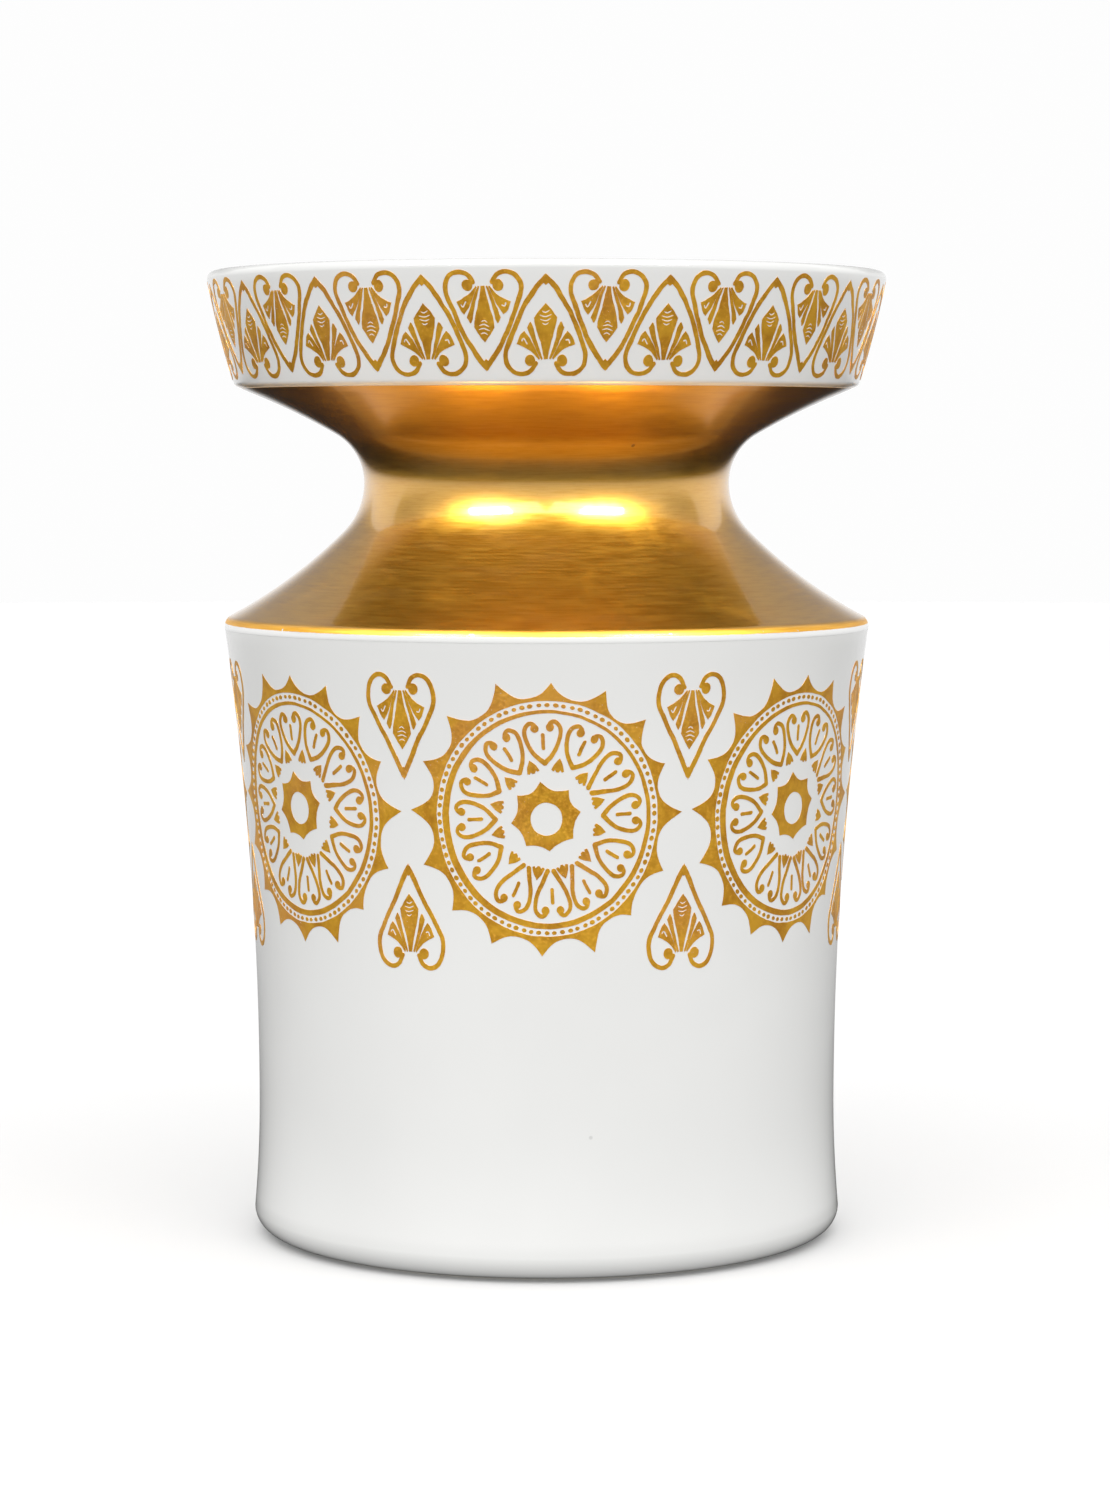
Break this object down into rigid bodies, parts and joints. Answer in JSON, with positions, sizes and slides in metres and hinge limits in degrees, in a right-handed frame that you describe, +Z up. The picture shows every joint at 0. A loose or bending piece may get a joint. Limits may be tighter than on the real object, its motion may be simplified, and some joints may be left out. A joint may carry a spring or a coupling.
{
  "type": "porcelain vase",
  "caption": "Waisted cylindrical porcelain vase with a narrow gilded throat, a wide upright collar and gilt medallion and heart ornament round body and collar.",
  "frame": {"origin": "centre of the foot ring's resting plane, on the vase's axis", "axes": "+Z up along the vase's axis; -Y is the front, where the middle of one medallion lies"},
  "size_m": [0.1756, 0.1756, 0.25],
  "materials": {
    "porcelain": "glossy transparent glaze over white hard-paste porcelain",
    "biscuit": "bare ground porcelain, matt",
    "burnished_gold": "burnished gilding, glossy, with fine brush marks round the neck",
    "printed_gold": "printed and fired gold, satin"
  },
  "bodies": {
    "root": {"foot_ring": "biscuit", "base_floor": "porcelain", "body_wall": "porcelain", "shoulder_cone": "porcelain", "throat_flare": "porcelain", "rim_collar": "porcelain", "neck_gilding": "burnished_gold", "medallion_1": "printed_gold", "medallion_2": "printed_gold", "medallion_3": "printed_gold", "medallion_4": "printed_gold", "medallion_5": "printed_gold", "medallion_6": "printed_gold", "medallion_7": "printed_gold", "upper_heart_1": "printed_gold", "upper_heart_2": "printed_gold", "upper_heart_3": "printed_gold", "upper_heart_4": "printed_gold", "upper_heart_5": "printed_gold", "upper_heart_6": "printed_gold", "upper_heart_7": "printed_gold", "lower_heart_1": "printed_gold", "lower_heart_2": "printed_gold", "lower_heart_3": "printed_gold", "lower_heart_4": "printed_gold", "lower_heart_5": "printed_gold", "lower_heart_6": "printed_gold", "lower_heart_7": "printed_gold", "frieze_upright_hearts": "printed_gold", "frieze_inverted_hearts": "printed_gold"}
  },
  "joints": []
}
